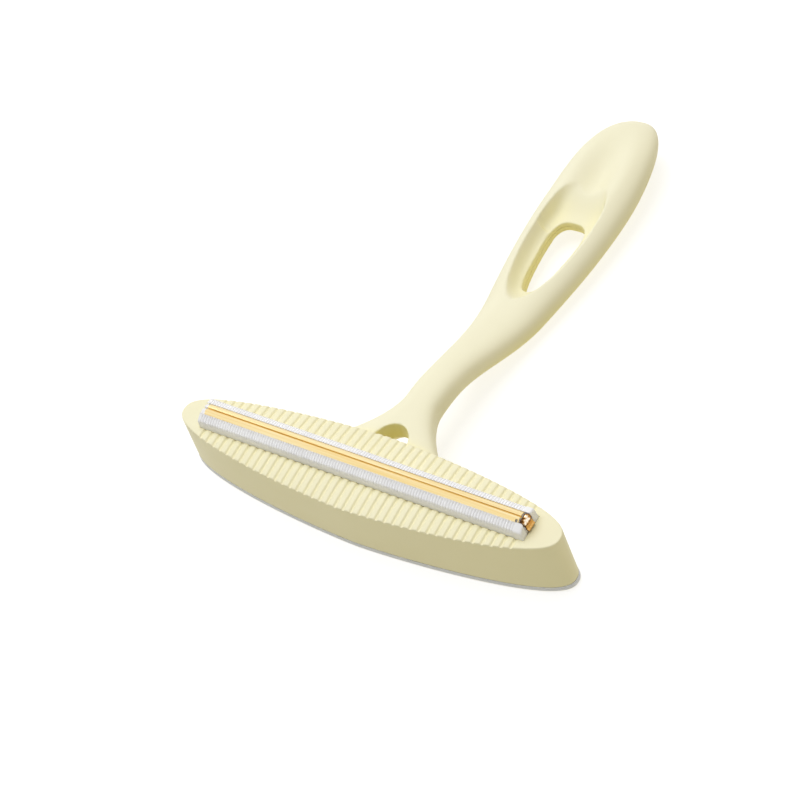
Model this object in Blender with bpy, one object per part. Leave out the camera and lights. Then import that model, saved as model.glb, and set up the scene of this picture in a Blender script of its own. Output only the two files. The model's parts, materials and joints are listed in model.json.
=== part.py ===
# A hand-held lint remover: a boat-shaped head with a ribbed face and a brass-bladed insert,
# a soft pad on its back, and a forked handle with a thumb dish and a hanging window.
# Head frame: X along the head, Y towards the handle, Z out of the ribbed face,
# with its origin on the face's ridge at the middle of the head.

import math

import bmesh
import bpy
import numpy as np
from mathutils import Matrix, Vector

# Head
FACE_LENGTH = 0.1260
FACE_WIDTH = 0.0264
END_LEAN_OUT = 0.0011
SIDE_LEAN_IN = 0.00045
HEAD_DEPTH = 0.0193
HEAD_SHIFT = 0.0005
FACE_ARC_RADIUS = 0.0750
SHELL_WALL = 0.0018
CEILING_DEPTH = 0.0034
GROOVE_PITCH = 0.002664
GROOVE_WIDTH = 0.00075
GROOVE_DEPTH = 0.0006
PLAIN_END_LENGTH = 0.0108
GROOVE_SHIFT = -0.00025

# Pad and back plate
PAD_THICKNESS = 0.00085
BACKING_THICKNESS = 0.00045
BOND_GAP = 0.0001
PAD_PROUD = 0.00015
PLATE_THICKNESS = 0.0016
PLATE_SCREW_SPACING = 0.0305
PLATE_SCREW_COUNT = 4
PLATE_SCREW_LENGTH = 0.0085
PLATE_BOSS_RADIUS = 0.0026

# Screws
SHANK_RADIUS = 0.0010
SCREW_HEAD_RADIUS = 0.0021
SCREW_HEAD_HEIGHT = 0.0010
PILOT_PLAY = 0.0001
HOLE_PLAY = 0.0003

# Blade insert
INSERT_END_MARGIN = 0.008775
INSERT_SHIFT = -0.000125
INSERT_WIDTH = 0.0084
SEAT_DEPTH = 0.0008
SEAT_GAP = 0.00015
CROWN_HEIGHT = 0.0042
SLOT_WIDTH = 0.00066
SLOT_DEPTH = 0.0012
BLADE_THICKNESS = 0.00025
BLADE_LAND_WIDTH = 0.00066
BLADE_LAND_FALL = 0.00015
BLADE_SLOPE_WIDTH = 0.0023
BLADE_SLOPE_FALL = 0.00145
BLADE_END_LEFT = 0.0014
BLADE_END_RIGHT = 0.0022
COMB_INNER = 0.00182
COMB_INNER_HEIGHT = 0.00388
COMB_OUTER_HEIGHT = 0.00316
COMB_CORNER = 0.0004
COMB_LEDGE_HEIGHT = 0.0015
COMB_CAP_LENGTH = 0.0028
COMB_CAP_PROUD = 0.00012
LAYER_GAP = 0.00012
LOCATING_HOLE = 0.0007
CLIP_BEAD_RADIUS = 0.0012
CLIP_SHEET = 0.0004
CLIP_WIDTH = 0.0034
CLIP_FLANGE_FOOT = 0.0008
TAB_SPACING = 0.0310
TAB_COUNT = 3
TAB_LENGTH = 0.0060
TAB_WIDTH = 0.0026
TAB_BARB = 0.0005
TAB_BARB_HEIGHT = 0.0007

# Handle, all heights below the face's ridge
HANDLE_END = 0.1588
FORK_WIDTH = 0.0320
FORK_BLEND_END = 0.0300
FORK_DROP = 0.0078
NECK_AT = 0.0410
NECK_WIDTH = 0.0114
NECK_THICKNESS = 0.0096
DROP_START = 0.0310
DROP_END = 0.0780
GRIP_AT = 0.1200
GRIP_WIDTH = 0.0274
GRIP_THICKNESS = 0.0140
GRIP_DROP = 0.0191
PALM_RISE = 0.0012
TIP_DROOP = 0.0020
TIP_DROOP_LENGTH = 0.0128
PARTING_DROP = 0.0012
PARTING_GAP = 0.0002
WALL_GAP = 0.0003

# Thumb dish, window and fork arch
DISH_WIDEST_AT = 0.1080
DISH_HALF_WIDTH = 0.0093
DISH_FRONT_LENGTH = 0.0310
DISH_REAR_LENGTH = 0.0190
DISH_FLOOR_DROP = 0.0186
DISH_CLIMB_AT = 0.1135
DISH_CLIMB = 0.0040
HOLLOW_AT = 0.1280
HOLLOW_HALF_LENGTH = 0.0240
HOLLOW_HALF_WIDTH = 0.0090
HOLLOW_DEPTH = 0.0024
UNDER_DISH_SHARE = 0.78
WEB_THICKNESS = 0.0037
WINDOW_FRONT = 0.0843
WINDOW_REAR = 0.1138
WINDOW_HALF_WIDTH = 0.0049
WINDOW_FLARE = 0.0016
ARCH_AT = 0.0118
ARCH_LENGTH = 0.0080
ARCH_HALF_WIDTH = 0.0056
PALM_CORE_AT = 0.1410
PALM_CORE_SIZE = (0.0170, 0.0200, 0.0056)

# Fork tenons and their screws
TENON_AT = 0.0105
TENON_WIDTH = 0.0050
TENON_THICKNESS = 0.0016
TENON_END = 0.0050
TENON_SCREW_AT = 0.0073
LEG_BOSS_RADIUS = 0.0024
LEG_SCREW_LENGTH = 0.0070

# Shape of the outlines, as powers of a superellipse, and the number of steps along curves
TIP_POWER = 1.45
SIDE_POWER = 2.42
DISH_WALL_POWER = 4.0
DISH_SHOULDER_POWER = 1.5
RIM_STEPS = 36
ARC_STEPS = 8
HANDLE_STEPS = 46
TOOL_NAME = "lint_remover"

for old in list(bpy.data.objects):
    bpy.data.objects.remove(old)

parts = bpy.data.collections.new(TOOL_NAME)
cutters = bpy.data.collections.new("cutters")
for group in (parts, cutters):
    bpy.context.scene.collection.children.link(group)

tool = bpy.data.objects.new("tool_frame", None)
parts.objects.link(tool)


# Materials

def plastic(name, colour, roughness):
    return finish(name, colour, roughness, 0.0)


def finish(name, colour, roughness, metallic):
    material = bpy.data.materials.new(name)
    material.use_nodes = True
    shader = material.node_tree.nodes["Principled BSDF"]
    shader.inputs["Base Color"].default_value = (*colour, 1.0)
    shader.inputs["Roughness"].default_value = roughness
    shader.inputs["Metallic"].default_value = metallic
    return material


cream = (0.86, 0.82, 0.60)
white = (0.84, 0.84, 0.84)
brass = (0.95, 0.66, 0.22)
steel = (0.56, 0.57, 0.58)
grey = (0.80, 0.80, 0.83)


# Placing and cutting

def add_piece(name, mesh, material):
    piece = bpy.data.objects.new(name, mesh)
    parts.objects.link(piece)
    piece.parent = tool
    piece.data.materials.append(material)
    return piece


def add_cutter(name, mesh):
    cutter = bpy.data.objects.new(name, mesh)
    cutters.objects.link(cutter)
    cutter.parent = tool
    cutter.hide_render = True
    cutter.display_type = "WIRE"
    return cutter


def combine(piece, cutter, operation):
    modifier = piece.modifiers.new(cutter.name, "BOOLEAN")
    modifier.operation = operation
    modifier.solver = "EXACT"
    modifier.object = cutter


def cut(piece, name, mesh):
    combine(piece, add_cutter(name, mesh), "DIFFERENCE")


def join(piece, name, mesh):
    combine(piece, add_cutter(name, mesh), "UNION")


def mesh_from(name, build):
    mesh = bpy.data.meshes.new(name)
    work = bmesh.new()
    build(work)
    bmesh.ops.recalc_face_normals(work, faces=work.faces)
    work.to_mesh(mesh)
    work.free()
    return mesh


def add_box(work, low, high):
    low, high = Vector(low), Vector(high)
    size = high - low
    place = Matrix.Translation((low + high) / 2) @ Matrix.Diagonal((*size, 1.0))
    bmesh.ops.create_cube(work, size=1.0, matrix=place)


def add_rod(work, x, y, low, high, radius, sides=20):
    bmesh.ops.create_cone(
        work, cap_ends=True, segments=sides, radius1=radius, radius2=radius,
        depth=high - low, matrix=Matrix.Translation((x, y, (low + high) / 2)),
    )


def box_mesh(name, low, high):
    return mesh_from(name, lambda work: add_box(work, low, high))


def loft_mesh(name, loops):
    # A skin through equal loops of points, with a flat cap at each end.
    def build(work):
        rings = [[work.verts.new(point) for point in loop] for loop in loops]
        count = len(rings[0])
        for near, far in zip(rings, rings[1:]):
            for i in range(count):
                j = (i + 1) % count
                work.faces.new((near[i], near[j], far[j], far[i]))
        work.faces.new(rings[0])
        work.faces.new(rings[-1])
    return mesh_from(name, build)


def outline_mesh(name, outline, depth, place):
    # A flat outline drawn as a closed 2D curve and given its thickness by extrusion.
    curve = bpy.data.curves.new(name, "CURVE")
    curve.dimensions = "2D"
    curve.fill_mode = "BOTH"
    curve.extrude = depth / 2
    spline = curve.splines.new("POLY")
    spline.points.add(len(outline) - 1)
    for point, (across, up) in zip(spline.points, outline):
        point.co = (across, up, 0.0, 1.0)
    spline.use_cyclic_u = True
    source = bpy.data.objects.new(name, curve)
    cutters.objects.link(source)
    bpy.context.view_layer.update()
    mesh = bpy.data.meshes.new_from_object(source.evaluated_get(bpy.context.evaluated_depsgraph_get()))
    bpy.data.objects.remove(source)
    work = bmesh.new()
    work.from_mesh(mesh)
    bmesh.ops.remove_doubles(work, verts=work.verts, dist=1e-7)
    bmesh.ops.transform(work, matrix=place, verts=work.verts)
    bmesh.ops.recalc_face_normals(work, faces=work.faces)
    work.to_mesh(mesh)
    work.free()
    return mesh


def along_x(low, high):
    # Lays an outline drawn in (Y, Z) so that its thickness runs from low to high in X.
    turn = Matrix(((0, 0, 1, 0), (1, 0, 0, 0), (0, 1, 0, 0), (0, 0, 0, 1)))
    return Matrix.Translation(((low + high) / 2, 0, 0)) @ turn


def along_y(low, high):
    # Lays an outline drawn in (X, Z) so that its thickness runs from low to high in Y.
    turn = Matrix(((1, 0, 0, 0), (0, 0, -1, 0), (0, 1, 0, 0), (0, 0, 0, 1)))
    return Matrix.Translation((0, (low + high) / 2, 0)) @ turn


def round_off(piece, angle=40.0):
    piece.data.shade_smooth()
    piece.data.set_sharp_from_angle(angle=math.radians(angle))


# Head

def face_height(y):
    return math.sqrt(FACE_ARC_RADIUS**2 - y * y) - FACE_ARC_RADIUS


def signed_power(value, power):
    return math.copysign(abs(value) ** power, value)


def rim_point(angle, z, inset):
    # A point of the head's outline at height z, between the face's outline and the back's.
    share = -z / HEAD_DEPTH
    length = FACE_LENGTH + 2 * END_LEAN_OUT * share
    width = FACE_WIDTH - 2 * SIDE_LEAN_IN * share
    x = (length / 2 - inset) * signed_power(math.cos(angle), 2 / TIP_POWER)
    y = (width / 2 - inset) * signed_power(math.sin(angle), 2 / SIDE_POWER)
    return Vector((HEAD_SHIFT + x, y, z))


def rim_loop(z, inset):
    count = 2 * RIM_STEPS
    return [rim_point(2 * math.pi * i / count, z, inset) for i in range(count)]


def head_block(name, top, bottom, inset):
    return loft_mesh(name, [rim_loop(bottom, inset), rim_loop(top, inset)])


def arc_outline(drop, top):
    # The band between the face's arc, lowered by drop, and a flat top above it.
    reach = FACE_WIDTH * 0.6
    low = [-reach + 2 * reach * i / ARC_STEPS for i in range(ARC_STEPS + 1)]
    return [(y, face_height(y) - drop) for y in low] + [(reach, top), (-reach, top)]


shell_bottom = -(HEAD_DEPTH - PAD_THICKNESS - BACKING_THICKNESS - 2 * BOND_GAP)
plate_top = shell_bottom + PLATE_THICKNESS
insert_length = FACE_LENGTH - 2 * INSERT_END_MARGIN
insert_left = HEAD_SHIFT + INSERT_SHIFT - insert_length / 2
insert_right = insert_left + insert_length
groove_count = int((FACE_LENGTH - 2 * PLAIN_END_LENGTH) / GROOVE_PITCH) + 1
plate_screws = [
    PLATE_SCREW_SPACING * (i - (PLATE_SCREW_COUNT - 1) / 2) for i in range(PLATE_SCREW_COUNT)
]
tabs = [TAB_SPACING * (i - (TAB_COUNT - 1) / 2) for i in range(TAB_COUNT)]
parting_at_fork = -FORK_DROP - PARTING_DROP
tenon_top = parting_at_fork - 2 * PARTING_GAP
tenon_bottom = tenon_top - TENON_THICKNESS
leg_boss_bottom = tenon_top + SEAT_GAP


def groove_cutter():
    def build(work):
        for i in range(groove_count):
            middle = HEAD_SHIFT + GROOVE_SHIFT + GROOVE_PITCH * (i - (groove_count - 1) / 2)
            band = outline_mesh(
                "groove", arc_outline(GROOVE_DEPTH, CROWN_HEIGHT), GROOVE_WIDTH,
                along_x(middle - GROOVE_WIDTH / 2, middle + GROOVE_WIDTH / 2),
            )
            work.from_mesh(band)
            bpy.data.meshes.remove(band)
    return mesh_from("grooves", build)


def make_head_shell():
    shell = add_piece(
        "head_shell", head_block("head_shell", 0.0, shell_bottom, 0.0), plastic("head_cream", cream, 0.45)
    )
    reach = FACE_LENGTH
    crown = outline_mesh("crown", arc_outline(0.0, HEAD_DEPTH), 2 * reach, along_x(-reach, reach))
    cut(shell, "face_crown", crown)
    cut(shell, "face_grooves", groove_cutter())
    cavity = head_block("cavity", -CEILING_DEPTH, shell_bottom - SHELL_WALL, SHELL_WALL)
    cut(shell, "shell_cavity", cavity)

    def bosses(work):
        ceiling = -CEILING_DEPTH + SHELL_WALL / 2
        for x in plate_screws:
            add_rod(work, x, 0.0, plate_top + SEAT_GAP, ceiling, PLATE_BOSS_RADIUS)
        for side in (-1, 1):
            add_rod(work, side * TENON_AT, TENON_SCREW_AT, leg_boss_bottom, ceiling, LEG_BOSS_RADIUS)

    def holes(work):
        pilot = SHANK_RADIUS + PILOT_PLAY
        for x in plate_screws:
            top = plate_top + PLATE_SCREW_LENGTH
            add_rod(work, x, 0.0, shell_bottom, top, pilot)
        for side in (-1, 1):
            top = tenon_bottom - SEAT_GAP + LEG_SCREW_LENGTH + HOLE_PLAY
            add_rod(work, side * TENON_AT, TENON_SCREW_AT, tenon_bottom, top, pilot)

    def openings(work):
        half = INSERT_WIDTH / 2 + SEAT_GAP
        add_box(
            work, (insert_left - SEAT_GAP, -half, -SEAT_DEPTH), (insert_right + SEAT_GAP, half, CROWN_HEIGHT)
        )

    def slots(work):
        play = HOLE_PLAY
        for x in tabs:
            add_box(
                work, (x - TAB_LENGTH / 2 - play, -TAB_WIDTH / 2 - play, -CEILING_DEPTH - SHELL_WALL),
                (x + TAB_LENGTH / 2 + play, TAB_WIDTH / 2 + play, CROWN_HEIGHT),
            )
        for side in (-1, 1):
            add_box(
                work,
                (side * TENON_AT - TENON_WIDTH / 2 - play, TENON_SCREW_AT, tenon_bottom - play),
                (side * TENON_AT + TENON_WIDTH / 2 + play, FACE_WIDTH, tenon_top + SEAT_GAP),
            )

    join(shell, "shell_bosses", mesh_from("bosses", bosses))
    cut(shell, "shell_pilot_holes", mesh_from("pilot_holes", holes))
    cut(shell, "insert_seat", mesh_from("insert_seat", openings))
    cut(shell, "shell_slots", mesh_from("slots", slots))


def make_back_plate():
    plate = add_piece(
        "back_plate", head_block("back_plate", plate_top, shell_bottom, SHELL_WALL + HOLE_PLAY),
        plastic("plate_cream", cream, 0.55),
    )

    def holes(low, top, radius):
        return lambda work: [add_rod(work, x, 0.0, low, top, radius) for x in plate_screws]

    low = shell_bottom - SHELL_WALL
    recess = shell_bottom + SCREW_HEAD_HEIGHT + SEAT_GAP
    shank = holes(low, plate_top + SHELL_WALL, SHANK_RADIUS + HOLE_PLAY)
    cut(plate, "plate_shank_holes", mesh_from("plate_shank_holes", shank))
    countersink = holes(low, recess, SCREW_HEAD_RADIUS + HOLE_PLAY)
    cut(plate, "plate_recesses", mesh_from("plate_recesses", countersink))


def make_pad():
    backing_top = shell_bottom - BOND_GAP
    backing_bottom = backing_top - BACKING_THICKNESS
    pad_top = backing_bottom - BOND_GAP
    add_piece(
        "pad_backing", head_block("pad_backing", backing_top, backing_bottom, -PAD_PROUD / 2),
        plastic("backing_foam", grey, 0.9),
    )
    add_piece(
        "lint_pad", head_block("lint_pad", pad_top, -HEAD_DEPTH, -PAD_PROUD),
        plastic("pad_fabric", grey, 0.95),
    )


def screw_mesh(name, x, y, seat, length):
    # A pan-headed screw pointing up, its head under the seat.
    profile = [
        (0.0, seat + length),
        (SHANK_RADIUS * 0.5, seat + length),
        (SHANK_RADIUS, seat + length - SHANK_RADIUS),
        (SHANK_RADIUS, seat),
        (SCREW_HEAD_RADIUS, seat),
        (SCREW_HEAD_RADIUS * 0.95, seat - SCREW_HEAD_HEIGHT * 0.5),
        (SCREW_HEAD_RADIUS * 0.7, seat - SCREW_HEAD_HEIGHT),
        (0.0, seat - SCREW_HEAD_HEIGHT),
    ]

    def build(work):
        corners = [work.verts.new((radius, 0.0, z)) for radius, z in profile]
        edges = [work.edges.new(pair) for pair in zip(corners, corners[1:])]
        bmesh.ops.spin(
            work, geom=corners + edges, cent=(0, 0, 0), axis=(0, 0, 1), angle=2 * math.pi, steps=16
        )
        bmesh.ops.remove_doubles(work, verts=work.verts, dist=1e-6)
        bmesh.ops.translate(work, vec=(x, y, 0.0), verts=work.verts)
    return mesh_from(name, build)


def make_screws():
    steel_finish = finish("screw_steel", steel, 0.35, 1.0)
    seat = shell_bottom + SCREW_HEAD_HEIGHT
    for number, x in enumerate(plate_screws, 1):
        name = f"back_plate_screw_{number}"
        screw = add_piece(name, screw_mesh(name, x, 0.0, seat, PLATE_SCREW_LENGTH), steel_finish)
        round_off(screw)
    seat = tenon_bottom - SEAT_GAP
    for side, label in ((-1, "left"), (1, "right")):
        name = f"leg_screw_{label}"
        mesh = screw_mesh(name, side * TENON_AT, TENON_SCREW_AT, seat, LEG_SCREW_LENGTH)
        round_off(add_piece(name, mesh, steel_finish))


# Blade insert, drawn for the rear side and mirrored for the front one

crease = (SLOT_WIDTH / 2 + BLADE_LAND_WIDTH, CROWN_HEIGHT - BLADE_LAND_FALL)
blade_outer = (crease[0] + BLADE_SLOPE_WIDTH, crease[1] - BLADE_SLOPE_FALL)
blade_slope = BLADE_SLOPE_FALL / BLADE_SLOPE_WIDTH
blade_left = insert_left + BLADE_END_LEFT
blade_right = insert_right - BLADE_END_RIGHT


def blade_top(y):
    return crease[1] - blade_slope * (y - crease[0])


def sided(outline, side):
    points = [(side * y, z) for y, z in outline]
    return points if side > 0 else points[::-1]


def make_blade(name, side, material):
    top = [(SLOT_WIDTH / 2, CROWN_HEIGHT), crease, blade_outer]
    under = [(y, z - BLADE_THICKNESS) for y, z in reversed(top)]
    outline = sided(top + under, side)
    mesh = outline_mesh(name, outline, blade_right - blade_left, along_x(blade_left, blade_right))
    return add_piece(name, mesh, material)


def comb_outline(grow):
    outer = INSERT_WIDTH / 2 + grow
    under = blade_top(COMB_INNER) + LAYER_GAP
    inner_foot = blade_outer[0] + 2 * LAYER_GAP
    return [
        (COMB_INNER, COMB_INNER_HEIGHT + grow),
        (outer - COMB_CORNER, COMB_OUTER_HEIGHT + grow),
        (outer, COMB_OUTER_HEIGHT + grow - COMB_CORNER),
        (outer, COMB_LEDGE_HEIGHT),
        (inner_foot, COMB_LEDGE_HEIGHT),
        (inner_foot, blade_top(inner_foot) + LAYER_GAP),
        (COMB_INNER, under),
    ]


def make_comb(name, side, material):
    body = sided(comb_outline(0.0), side)
    comb = add_piece(
        name, outline_mesh(name, body, insert_length, along_x(insert_left, insert_right)), material
    )
    cap_left = insert_right - COMB_CAP_LENGTH
    cap = outline_mesh(
        "cap", sided(comb_outline(COMB_CAP_PROUD), side), COMB_CAP_LENGTH, along_x(cap_left, insert_right)
    )
    join(comb, name + "_cap", cap)


def make_carrier(material):
    half = INSERT_WIDTH / 2
    bottom = -SEAT_DEPTH + SEAT_GAP
    under = BLADE_THICKNESS + LAYER_GAP
    ledge = COMB_LEDGE_HEIGHT - SEAT_GAP
    right = [
        (half, bottom),
        (half, ledge),
        (blade_outer[0], ledge),
        (blade_outer[0], blade_outer[1] - under),
        (crease[0], crease[1] - under),
        (SLOT_WIDTH / 2, CROWN_HEIGHT - under),
        (SLOT_WIDTH / 2, CROWN_HEIGHT - SLOT_DEPTH),
    ]
    left = [(-y, z) for y, z in reversed(right)]
    carrier = add_piece(
        "insert_carrier",
        outline_mesh("carrier", right + left, insert_length, along_x(insert_left, insert_right)), material,
    )

    deep = -CEILING_DEPTH - HOLE_PLAY - TAB_BARB_HEIGHT

    def tab_shapes(work):
        for x in tabs:
            add_box(
                work, (x - TAB_LENGTH / 2, -TAB_WIDTH / 2, deep),
                (x + TAB_LENGTH / 2, TAB_WIDTH / 2, bottom + SEAT_GAP),
            )

    def barbs(work):
        reach = TAB_WIDTH / 2 + TAB_BARB
        for x in tabs:
            low = (x - TAB_LENGTH / 4, -reach, deep - TAB_BARB)
            add_box(work, low, (x + TAB_LENGTH / 4, reach, deep + TAB_BARB))

    beyond = insert_right + COMB_CAP_LENGTH
    step = clip_x + CLIP_BEAD_RADIUS - 2 * CLIP_SHEET
    bay = [
        (blade_right + LAYER_GAP, clip_floor),
        (step, clip_floor),
        (step, CLIP_FLANGE_FOOT - SEAT_GAP),
        (beyond, CLIP_FLANGE_FOOT - SEAT_GAP),
        (beyond, 2 * CROWN_HEIGHT),
        (blade_right + LAYER_GAP, 2 * CROWN_HEIGHT),
    ]
    bay_half = COMB_INNER + LAYER_GAP
    join(carrier, "insert_tabs", mesh_from("tabs", tab_shapes))
    join(carrier, "insert_barbs", mesh_from("barbs", barbs))
    cut(carrier, "clip_bay", outline_mesh("clip_bay", bay, 2 * bay_half, along_y(-bay_half, bay_half)))


clip_x = blade_right + CLIP_BEAD_RADIUS + 2 * LAYER_GAP
clip_z = CROWN_HEIGHT - CLIP_BEAD_RADIUS
clip_floor = clip_z - CLIP_BEAD_RADIUS - LAYER_GAP


def make_end_clip(material):
    # A rolled bead across the insert's end, with a flange that turns down and curls out.
    start, end, steps = -25.0, 270.0, 16
    bead = [
        (
            clip_x + CLIP_BEAD_RADIUS * math.cos(math.radians(start + (end - start) * i / steps)),
            clip_z + CLIP_BEAD_RADIUS * math.sin(math.radians(start + (end - start) * i / steps)),
        )
        for i in range(steps + 1)
    ]
    outer_x = clip_x + CLIP_BEAD_RADIUS * math.cos(math.radians(start))
    inner_x = outer_x - CLIP_SHEET
    foot = CLIP_FLANGE_FOOT
    flange = [
        (inner_x, clip_z - CLIP_BEAD_RADIUS * 0.9),
        (inner_x, foot + CLIP_SHEET * 1.5),
        (inner_x + CLIP_SHEET * 0.6, foot),
        (outer_x + CLIP_SHEET * 1.2, foot),
        (outer_x + CLIP_SHEET * 1.2, foot + CLIP_SHEET * 0.9),
        (outer_x, foot + CLIP_SHEET * 2.2),
    ]
    outline = bead + flange
    mesh = outline_mesh("end_clip", outline, CLIP_WIDTH, along_y(-CLIP_WIDTH / 2, CLIP_WIDTH / 2))
    round_off(add_piece("end_clip", mesh, material))


def make_insert():
    insert_white = plastic("insert_white", white, 0.4)
    brass_finish = finish("blade_brass", brass, 0.25, 1.0)
    make_carrier(insert_white)
    for name, side in (("front", -1), ("rear", 1)):
        make_comb(name + "_comb", side, insert_white)
        blade = make_blade(name + "_blade", side, brass_finish)
        if side < 0:
            hole = LOCATING_HOLE / 2
            x = blade_right - 2 * LOCATING_HOLE
            y = -(crease[0] + COMB_INNER) / 2
            cut(
                blade, "locating_hole",
                box_mesh("hole", (x - hole, y - hole, 0.0), (x + hole, y + hole, CROWN_HEIGHT * 2)),
            )
    make_end_clip(brass_finish)


# Handle

def ramp(value, start, end):
    return min(max((value - start) / (end - start), 0.0), 1.0)


def swell(share, power=1.0):
    return math.sin(math.pi / 2 * share**power) ** 2


def tip_share(y):
    return math.sqrt(max(1.0 - ramp(y, GRIP_AT, HANDLE_END) ** 2.5, 0.0))


def handle_half_width(y):
    grown = NECK_WIDTH + (GRIP_WIDTH - NECK_WIDTH) * swell(ramp(y, NECK_AT, GRIP_AT), 0.87)
    flare = (FORK_WIDTH - NECK_WIDTH) * (1.0 - ramp(y, FACE_WIDTH / 2, FORK_BLEND_END)) ** 1.7
    return (grown + flare) / 2 * tip_share(y)


def handle_half_thickness(y):
    grown = NECK_THICKNESS + (GRIP_THICKNESS - NECK_THICKNESS) * swell(ramp(y, NECK_AT, GRIP_AT), 0.87)
    return grown / 2 * tip_share(y)


def handle_centre(y):
    drop = FORK_DROP + (GRIP_DROP - FORK_DROP) * swell(ramp(y, DROP_START, DROP_END))
    rise = PALM_RISE * swell(ramp(y, GRIP_AT, GRIP_AT + 0.6 * (HANDLE_END - GRIP_AT)))
    droop = TIP_DROOP * ramp(y, HANDLE_END - TIP_DROOP_LENGTH, HANDLE_END) ** 2
    return rise - drop - droop


def corner_power(y):
    # Boxy at the fork, rounder from the neck on.
    return 3.2 - 0.75 * ramp(y, FACE_WIDTH / 2, NECK_AT)


def dish_edge(y):
    # Half the dish's width at y: a long ellipse in front, a blunt end behind.
    if y < DISH_WIDEST_AT:
        share, power = (DISH_WIDEST_AT - y) / DISH_FRONT_LENGTH, 1.9
    else:
        share, power = (y - DISH_WIDEST_AT) / DISH_REAR_LENGTH, 3.0
    if share >= 1.0:
        return 0.0
    return DISH_HALF_WIDTH * (1.0 - share**power) ** (1 / power)


def dish_depth_share(x, y, width_share):
    if y < DISH_WIDEST_AT:
        along, power = (DISH_WIDEST_AT - y) / DISH_FRONT_LENGTH, 1.9
    else:
        along, power = (y - DISH_WIDEST_AT) / DISH_REAR_LENGTH, 3.0
    reach = along**power + abs(x / (DISH_HALF_WIDTH * width_share)) ** power
    return max(1.0 - reach**DISH_WALL_POWER, 0.0)


def dish_floor(y):
    # Level around the window, then climbing behind it to run out into the palm hollow.
    return DISH_CLIMB * swell(ramp(y, DISH_CLIMB_AT, DISH_WIDEST_AT + DISH_REAR_LENGTH)) - DISH_FLOOR_DROP


def skin_height(x, y, side):
    # Height of the handle's top (side 1) or underside (side -1) at a point in plan.
    half = handle_half_width(y)
    share = min(abs(x) / half, 1.0) if half > 0 else 1.0
    power = corner_power(y)
    bulge = handle_half_thickness(y) * (1.0 - share**power) ** (1 / power)
    centre = handle_centre(y)
    height = centre + side * bulge
    if side > 0:
        along = (y - HOLLOW_AT) / HOLLOW_HALF_LENGTH
        reach = math.hypot(along, x / HOLLOW_HALF_WIDTH)
        height -= HOLLOW_DEPTH * (math.cos(math.pi / 2 * min(reach, 1.0)) ** 2)
        sunk = dish_depth_share(x, y, 1.0) ** DISH_SHOULDER_POWER
        return height - max(height - dish_floor(y), 0.0) * sunk
    floor = -DISH_FLOOR_DROP - WEB_THICKNESS
    return height + max(floor - height, 0.0) * dish_depth_share(x, y, UNDER_DISH_SHARE)


def handle_loop(y):
    half = handle_half_width(y)
    crest = min(max(dish_edge(y), 0.35 * half), 0.86 * half)
    outer = [half * math.cos(math.radians(angle)) for angle in (0, 14, 27)]
    outer = [x for x in outer if x > crest * 1.04]
    inner = [crest * share for share in (1.0, 0.85, 0.65, 0.42, 0.2, 0.0)]
    ridge = sorted(set(outer + inner), reverse=True)
    while len(ridge) < 9:
        ridge.insert(1, (ridge[0] + ridge[1]) / 2)
    xs = ridge + [-x for x in reversed(ridge[:-1])]
    top = [Vector((x, y, skin_height(x, y, 1))) for x in xs]
    under = [Vector((x, y, skin_height(x, y, -1))) for x in reversed(xs[1:-1])]
    return top + under


def handle_mesh():
    start = FACE_WIDTH / 2 - SHELL_WALL * 1.5
    body_end = HANDLE_END - TIP_DROOP_LENGTH
    stations = list(np.linspace(start, body_end, HANDLE_STEPS))
    tip_steps = 9
    for i in range(1, tip_steps + 1):
        share = math.sin(math.pi / 2 * i / (tip_steps + 0.35))
        stations.append(body_end + (HANDLE_END - body_end) * share)
    return loft_mesh("handle", [handle_loop(y) for y in stations])


def parting_block(name, gap_side):
    # Everything below the parting line, which keeps a set distance under the handle's centre.
    count = 46
    low, high = 0.0, HANDLE_END + FACE_WIDTH
    ys = [low + (high - low) * i / count for i in range(count + 1)]
    line = [(y, handle_centre(min(y, HANDLE_END)) - PARTING_DROP + gap_side * PARTING_GAP / 2) for y in ys]
    deep = -2 * HEAD_DEPTH
    outline = [(low, deep), (high, deep)] + line[::-1]
    reach = FORK_WIDTH
    return outline_mesh(name, outline, 2 * reach, along_x(-reach, reach))


def window_mesh():
    middle = (WINDOW_FRONT + WINDOW_REAR) / 2
    half_length = (WINDOW_REAR - WINDOW_FRONT) / 2
    steps = 18
    side = []
    for i in range(steps + 1):
        share = -math.cos(math.pi * i / steps)
        half = (WINDOW_HALF_WIDTH + WINDOW_FLARE * share) * (1.0 - abs(share) ** 3) ** (1 / 3)
        side.append((half, middle + half_length * share))
    outline = side + [(-x, y) for x, y in side[-2:0:-1]]
    depth = 2 * HEAD_DEPTH
    return outline_mesh("window", outline, depth, Matrix.Translation((0, 0, -GRIP_DROP)))


def arch_mesh():
    steps = 16
    outline = [
        (
            ARCH_HALF_WIDTH * math.cos(math.pi * i / steps),
            ARCH_AT + ARCH_LENGTH * math.sin(math.pi * i / steps),
        )
        for i in range(steps + 1)
    ]
    outline += [(-ARCH_HALF_WIDTH, 0.0), (ARCH_HALF_WIDTH, 0.0)]
    return outline_mesh("arch", outline, 2 * HEAD_DEPTH, Matrix.Translation((0, 0, -FORK_DROP)))


def palm_core_mesh():
    size = PALM_CORE_SIZE
    place = Matrix.Translation((0, PALM_CORE_AT, handle_centre(PALM_CORE_AT)))
    scale = Matrix.Diagonal((size[0] / 2, size[1] / 2, size[2] / 2, 1.0))

    def build(work):
        bmesh.ops.create_uvsphere(work, u_segments=20, v_segments=10, radius=1.0, matrix=place @ scale)
    return mesh_from("palm_core", build)


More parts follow.
